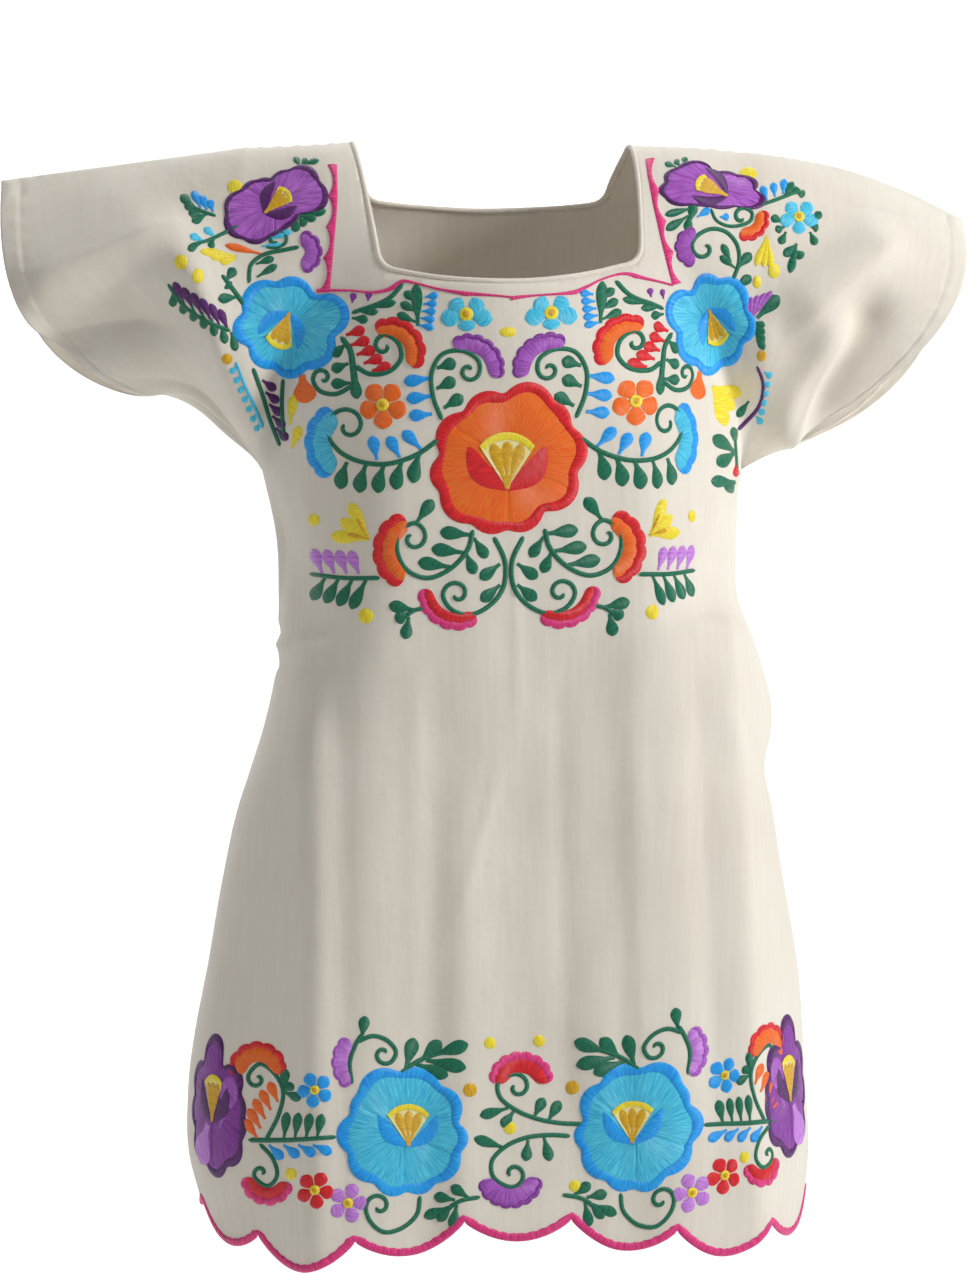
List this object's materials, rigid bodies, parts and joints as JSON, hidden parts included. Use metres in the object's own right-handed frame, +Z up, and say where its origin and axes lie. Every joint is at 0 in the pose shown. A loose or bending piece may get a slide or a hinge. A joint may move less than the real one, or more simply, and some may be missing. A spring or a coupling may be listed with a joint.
{
  "type": "embroidered blouse",
  "caption": "Hollow short-sleeved cotton blouse in its worn pose, square neck, scalloped hem, embroidered yoke and hem band.",
  "frame": {"origin": "between the shoulders, on the shoulder line, where the wearer carries the blouse", "axes": "+Z up, -Y the front of the blouse, +X the viewer's right when looking at the front"},
  "size_m": [0.6165, 0.2459, 0.7001],
  "materials": {
    "cotton": "cream plain-woven cotton, matt",
    "bias_binding": "the same cotton cut on the bias, rolled and stitched",
    "thread_pink": "satin-stitch thread with a soft sheen",
    "thread_orange": "satin-stitch thread with a soft sheen",
    "thread_red": "satin-stitch thread with a soft sheen",
    "thread_blue": "satin-stitch thread with a soft sheen",
    "thread_cyan": "satin-stitch thread with a soft sheen",
    "thread_purple": "satin-stitch thread with a soft sheen",
    "thread_plum": "satin-stitch thread with a soft sheen",
    "thread_lilac": "satin-stitch thread with a soft sheen",
    "thread_green": "satin-stitch thread with a soft sheen",
    "thread_yellow": "satin-stitch thread with a soft sheen",
    "thread_gold": "satin-stitch thread with a soft sheen",
    "seam_thread": "cream sewing thread"
  },
  "bodies": {
    "root": {"front_panel": "cotton", "back_panel": "cotton", "neck_binding": "bias_binding"}
  },
  "joints": []
}
